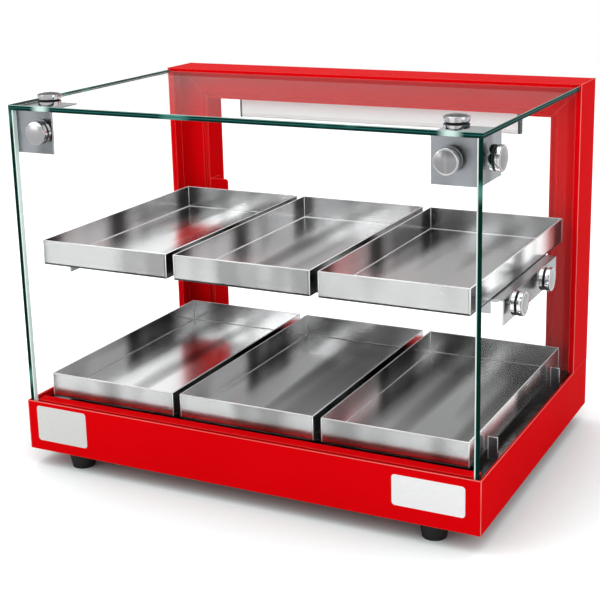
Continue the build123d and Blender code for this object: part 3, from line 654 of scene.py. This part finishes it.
def sill_section():
    """An inverted channel of thin sheet standing on the deck, its two upper corners slightly cut."""
    front, back, top, sheet, cut = -0.2034, -0.1888, 0.0855, 0.0008, 0.0004
    return [(front + sheet, DECK_TOP), (front + sheet, top - sheet), (back - sheet, top - sheet),
            (back - sheet, DECK_TOP), (back, DECK_TOP), (back, top - cut), (back - cut, top),
            (front + cut, top), (front, top - cut), (front, DECK_TOP)]


# Red sill between the front pane and the lower trays
sill = carried(sill_section(), -PANE_INNER, PANE_INNER)
mesh_piece("front_sill", *sill, RED, "case", "red_paint", smooth=False)

# Rivets on the stop tab's leg
DOME = [(0.0, -0.0002), (0.0034, -0.0002), (0.0034, 0.0), (0.0030, 0.0005), (0.0022, 0.0011),
        (0.0012, 0.0015), (0.0, 0.0016)]
LEG_X, RIVET_Y, RIVET_LEVELS = -0.2515, 0.187, (0.286, 0.259)
rivets = joined([turned(DOME, (LEG_X, RIVET_Y, level), (1.0, 0.0, 0.0), 24) for level in RIVET_LEVELS])
mesh_piece("stop_tab_rivets", *rivets, RED, "case", "red_paint")

# Where each knob's plate stands and which way the knob points
CORNER_KNOBS = [
    ((LEFT_KNOB_X, FRONT_KNOB_Y, KNOB_LEVEL), (0, -1, 0)),
    ((LEFT_KNOB_X, TOP_KNOB_Y, TOP_KNOB_Z), (0, 0, 1)),
    ((RIGHT_KNOB_X, FRONT_KNOB_Y, KNOB_LEVEL), (0, -1, 0)),
    ((RIGHT_KNOB_X, TOP_KNOB_Y, TOP_KNOB_Z), (0, 0, 1)),
    ((SIDE_KNOB_X, SIDE_KNOB_Y, KNOB_LEVEL), (1, 0, 0)),
]
RAIL_KNOB_PLACES = (-0.1005, 0.0045)
RAIL_KNOBS = [((side * SIDE_KNOB_X, y, RAIL_LEVEL), (side, 0, 0)) for side in (-1, 1) for y in RAIL_KNOB_PLACES]


def cap_profile():
    """The cap's side: flat back, rims rolled by 0.9 mm, and a face domed by 2.0 mm * (1 - (r/R)^2)."""
    back, rim_front, radius, roll = 0.0065, 0.0128, 0.014, 0.0009
    angle = np.linspace(0, np.pi / 2, 5)
    lower = np.stack([radius - roll + roll * np.sin(angle), back + roll - roll * np.cos(angle)], -1)
    upper = np.stack([radius - roll + roll * np.cos(angle), rim_front - roll + roll * np.sin(angle)], -1)
    r = np.linspace(radius - roll - 0.0012, 0.0, 9)
    face = np.stack([r, rim_front + 0.0020 * (1 - (r / (radius - roll)) ** 2) - 0.0002], -1)
    return np.concatenate([[(0.0, back)], lower, upper, face])


# Domed caps with a satin face inside a polished rim stand for the bevelled caps, on necks that are black. Face and
# neck each lie between two heights on the knob and within a radius.
CAP_FACE, NECK_RING = (0.0127, 0.016, 0.0119), (0.0041, 0.0066, 0.0145)
for name, knobs, stood_for, neck_node in (
        ("corner_knob_domes", CORNER_KNOBS, "corner_knob_caps", "corner_knob_bases"),
        ("rail_knob_domes", RAIL_KNOBS, "rail_knob_caps", "rail_knob_bases")):
    shape = joined([turned(cap_profile(), point, axis, 64) for point, axis in knobs])
    domes = mesh_piece(name, *shape, CHROME, "case", "knob_cap_chrome")
    domes.data.materials.append(FACE)
    assign(domes.data, around_knobs(domes.data, knobs, *CAP_FACE))
    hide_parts(stood_for)
    neck = nodes[neck_node].data
    assign(neck, around_knobs(neck, knobs, *NECK_RING))


# Studio

def by_ray(tree, plain, mirrored, seen):
    """The plain shader for light, the mirrored one for mirrors, and the seen one for the camera and
    through glass."""
    path = tree.nodes.new("ShaderNodeLightPath")
    eye = maths(tree, "MAXIMUM", path.outputs["Is Camera Ray"], path.outputs["Is Transmission Ray"])
    surface = plain
    for factor, shown in ((path.outputs["Is Glossy Ray"], mirrored), (eye, seen)):
        mix = tree.nodes.new("ShaderNodeMixShader")
        tree.links.new(factor, mix.inputs[0])
        tree.links.new(surface, mix.inputs[1])
        tree.links.new(shown, mix.inputs[2])
        surface = mix.outputs[0]
    return surface


def studio_world():
    """White to the camera and through glass. Mirrors see the same white low down and a grey studio
    ceiling with a bright overhead panel, by the height of the direction, and diffuse light is even and
    pale."""
    world = bpy.data.worlds.new("studio")
    bpy.context.scene.world = world
    world.use_nodes = True
    tree = world.node_tree
    tree.nodes.clear()
    output = tree.nodes.new("ShaderNodeOutputWorld")
    _, _, height = split(tree, object_place(tree).outputs["Generated"])
    studio = tree.nodes.new("ShaderNodeValToRGB")
    stops = ((0.0, 1.0), (0.04, 0.80), (0.14, 0.50), (0.32, 0.34), (0.58, 0.22), (0.85, 0.7))
    while len(studio.color_ramp.elements) < len(stops):
        studio.color_ramp.elements.new(0.5)
    for element, (position, level) in zip(studio.color_ramp.elements, stops):
        element.position = position
        element.color = (level, level, level, 1.0)
    tree.links.new(height, studio.inputs["Fac"])
    plain, mirrored, seen = (tree.nodes.new("ShaderNodeBackground") for _ in range(3))
    for background, strength in ((plain, 0.72), (mirrored, 1.0), (seen, 1.0)):
        background.inputs["Color"].default_value = (1.0, 1.0, 1.0, 1.0)
        background.inputs["Strength"].default_value = strength
    tree.links.new(studio.outputs["Color"], mirrored.inputs["Color"])
    surface = by_ray(tree, plain.outputs[0], mirrored.outputs[0], seen.outputs[0])
    tree.links.new(surface, output.inputs["Surface"])


def soft_lamp(name, place_at, target, size, power):
    """A rectangular area lamp aimed at a point."""
    lamp = bpy.data.lights.new(name, "AREA")
    lamp.shape = "RECTANGLE"
    lamp.size, lamp.size_y = size
    lamp.energy = power
    lamp_object = bpy.data.objects.new(name, lamp)
    bpy.context.scene.collection.objects.link(lamp_object)
    lamp_object.location = place_at
    lamp_object.rotation_mode = "QUATERNION"
    lamp_object.rotation_quaternion = (Vector(target) - Vector(place_at)).to_track_quat("-Z", "Y")


def pale_floor():
    """A wide plane under the feet: it keeps the shadow and glows white in the open; near the object its glow
    and colour fall with ambient occlusion, a painted contact shadow that is slightly cool, so that the red of the
    base does not colour the shadow."""
    mesh = bpy.data.meshes.new("floor")
    reach = 3.2
    corners = [(-reach, -reach, 0.0), (reach, -reach, 0.0), (reach, reach, 0.0), (-reach, reach, 0.0)]
    mesh.from_pydata(corners, [], [(0, 1, 2, 3)])
    material, tree, shader, output = new_material("floor_white")
    set_plain(shader, Roughness=0.65, Specular_IOR_Level=0.1)
    open_air = tree.nodes.new("ShaderNodeAmbientOcclusion")
    open_air.samples = 8
    open_air.inputs["Distance"].default_value = 0.30
    # Painted contact shadow: glow and cool tint fall off with ambient occlusion near the object
    openness = maths(tree, "POWER", open_air.outputs["AO"], 1.6)
    tree.links.new(mix_colour(tree, openness, (0.50, 0.66, 0.66), (0.93, 0.93, 0.93)),
                   shader.inputs["Base Color"])
    glow, mirrored = (tree.nodes.new("ShaderNodeEmission") for _ in range(2))
    for emission, strength in ((glow, 0.46), (mirrored, 0.85)):
        tree.links.new(maths(tree, "MULTIPLY", openness, strength), emission.inputs["Strength"])
    seen = tree.nodes.new("ShaderNodeAddShader")
    tree.links.new(shader.outputs[0], seen.inputs[0])
    tree.links.new(glow.outputs[0], seen.inputs[1])
    surface = by_ray(tree, shader.outputs[0], mirrored.outputs[0], seen.outputs[0])
    tree.links.new(surface, output.inputs["Surface"])
    mesh.materials.append(material)
    floor = bpy.data.objects.new("floor", mesh)
    bpy.context.scene.collection.objects.link(floor)


def photo_camera():
    """The camera of the photograph, with its focal length and the middle of its view in pixels of the
    picture: axes turned by azimuth and elevation, then by the roll about the view line."""
    picture, sensor, focal, middle_x, middle_y = 600.0, 36.0, 1302.8, 316.0, 240.0
    azimuth, elevation, roll = (math.radians(value) for value in (26.592, 14.348, -1.242))
    forward = Vector((-math.sin(azimuth) * math.cos(elevation), math.cos(azimuth) * math.cos(elevation),
                      -math.sin(elevation)))
    right = Vector((math.cos(azimuth), math.sin(azimuth), 0.0))
    up = right.cross(forward)
    right_rolled = math.cos(roll) * right + math.sin(roll) * up
    up_rolled = math.cos(roll) * up - math.sin(roll) * right
    camera = bpy.data.cameras.new("camera")
    camera.lens = focal * sensor / picture
    camera.sensor_width = sensor
    camera.shift_x = (picture / 2 - middle_x) / picture
    camera.shift_y = (middle_y - picture / 2) / picture
    camera.clip_end = 60.0
    camera_object = bpy.data.objects.new("camera", camera)
    bpy.context.scene.collection.objects.link(camera_object)
    turn = Matrix((right_rolled, up_rolled, -forward)).transposed().to_4x4()
    camera_object.matrix_world = Matrix.Translation((0.7186, -1.4276, 0.6805)) @ turn
    bpy.context.scene.camera = camera_object


studio_world()
pale_floor()
soft_lamp("top_softbox", (-0.2, -0.5, 1.9), (0.0, 0.0, 0.2), (2.6, 2.0), 20.0)
soft_lamp("left_softbox", (-1.5, -1.8, 1.1), (0.0, 0.0, 0.25), (1.2, 1.2), 10.0)
soft_lamp("right_softbox", (2.0, -0.6, 0.9), (0.0, 0.0, 0.25), (0.9, 1.3), 7.0)
photo_camera()
bpy.context.scene.view_settings.view_transform = "Standard"
